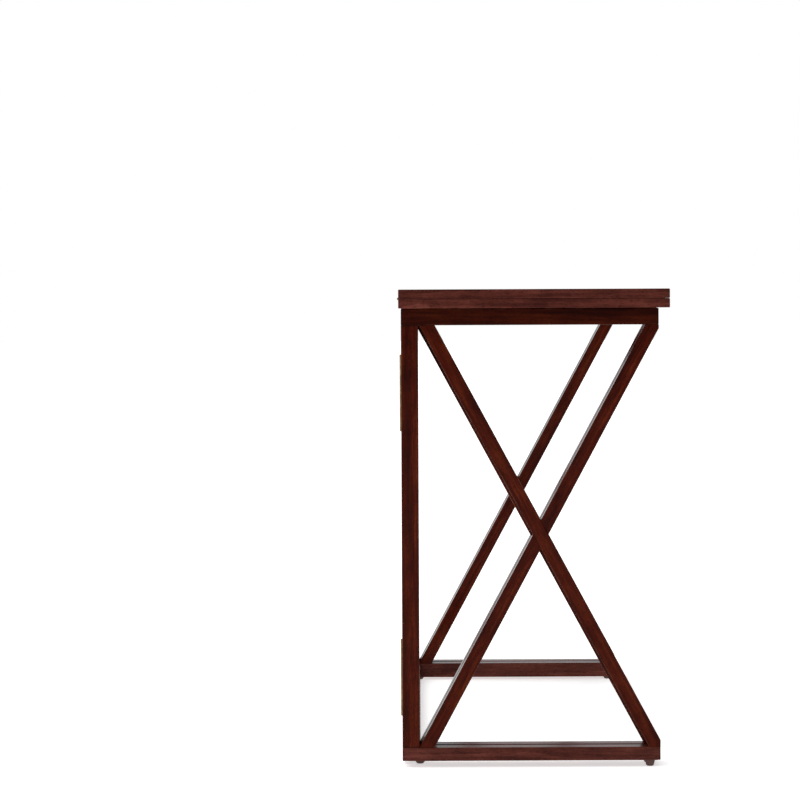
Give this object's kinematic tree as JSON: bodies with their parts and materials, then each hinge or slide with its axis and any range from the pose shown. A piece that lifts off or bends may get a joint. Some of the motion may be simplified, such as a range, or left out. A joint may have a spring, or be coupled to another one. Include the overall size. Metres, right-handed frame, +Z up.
{
  "type": "fold-over gate-leg table",
  "caption": "Narrow wooden table with a double top; the upper leaf flips over and a cross-braced gate at each end swings out to carry it.",
  "frame": {"origin": "on the floor under the middle of the closed top", "axes": "+Z up, +Y along the top, hinge edge of the leaves and of the gates on the -X side"},
  "size_m": [0.4345, 0.864, 0.762],
  "materials": {
    "top_wood": "satin dark mahogany stain",
    "frame_wood": "satin dark mahogany stain",
    "dowel_wood": "plain fluted beech",
    "hinge_brass": "antique satin",
    "fastener_steel": "zinc plated",
    "glide_plastic": "moulded, brown"
  },
  "bodies": {
    "base": {"barrel_nuts": "fastener_steel", "far_frame_bottom_rail": "frame_wood", "far_frame_dowels": "dowel_wood", "far_frame_glides": "glide_plastic", "far_frame_lapped_brace": "frame_wood", "far_frame_post": "frame_wood", "far_frame_through_brace": "frame_wood", "far_frame_top_rail": "frame_wood", "far_hinge_frame_plates": "hinge_brass", "far_hinge_frame_screws": "hinge_brass", "frame_bolts": "fastener_steel", "hinge_side_apron": "frame_wood", "leaf_hinge_lower_plates": "hinge_brass", "leaf_hinge_lower_screws": "hinge_brass", "low_stretcher": "frame_wood", "lower_leaf": "top_wood", "near_frame_bottom_rail": "frame_wood", "near_frame_dowels": "dowel_wood", "near_frame_glides": "glide_plastic", "near_frame_lapped_brace": "frame_wood", "near_frame_post": "frame_wood", "near_frame_through_brace": "frame_wood", "near_frame_top_rail": "frame_wood", "near_hinge_frame_plates": "hinge_brass", "near_hinge_frame_screws": "hinge_brass", "outer_apron": "frame_wood", "top_screws": "fastener_steel"},
    "flip_leaf": {"upper_leaf": "top_wood", "leaf_hinge_upper_plates": "hinge_brass", "leaf_hinge_pins": "hinge_brass", "leaf_hinge_upper_screws": "hinge_brass"},
    "near_gate": {"near_gate_post": "frame_wood", "near_gate_top_rail": "frame_wood", "near_gate_bottom_rail": "frame_wood", "near_gate_through_brace": "frame_wood", "near_gate_lapped_brace": "frame_wood", "near_gate_dowels": "dowel_wood", "near_gate_glide": "glide_plastic", "near_hinge_gate_plates": "hinge_brass", "near_hinge_pins": "hinge_brass", "near_hinge_gate_screws": "hinge_brass"},
    "far_gate": {"far_gate_post": "frame_wood", "far_gate_top_rail": "frame_wood", "far_gate_bottom_rail": "frame_wood", "far_gate_through_brace": "frame_wood", "far_gate_lapped_brace": "frame_wood", "far_gate_dowels": "dowel_wood", "far_gate_glide": "glide_plastic", "far_hinge_gate_plates": "hinge_brass", "far_hinge_pins": "hinge_brass", "far_hinge_gate_screws": "hinge_brass"}
  },
  "joints": [
    {"name": "leaf_flip", "type": "hinge", "parent": "base", "child": "flip_leaf", "pos_m": [-0.2163, 0, 0.7469], "axis": [0, -1, 0], "range_deg": [0, 180]},
    {"name": "near_gate_swing", "type": "hinge", "parent": "base", "child": "near_gate", "pos_m": [-0.2123, -0.39725, 0.368], "axis": [0, 0, -1], "range_deg": [0, 180]},
    {"name": "far_gate_swing", "type": "hinge", "parent": "base", "child": "far_gate", "pos_m": [-0.2123, 0.39725, 0.368], "axis": [0, 0, 1], "range_deg": [0, 180]}
  ]
}
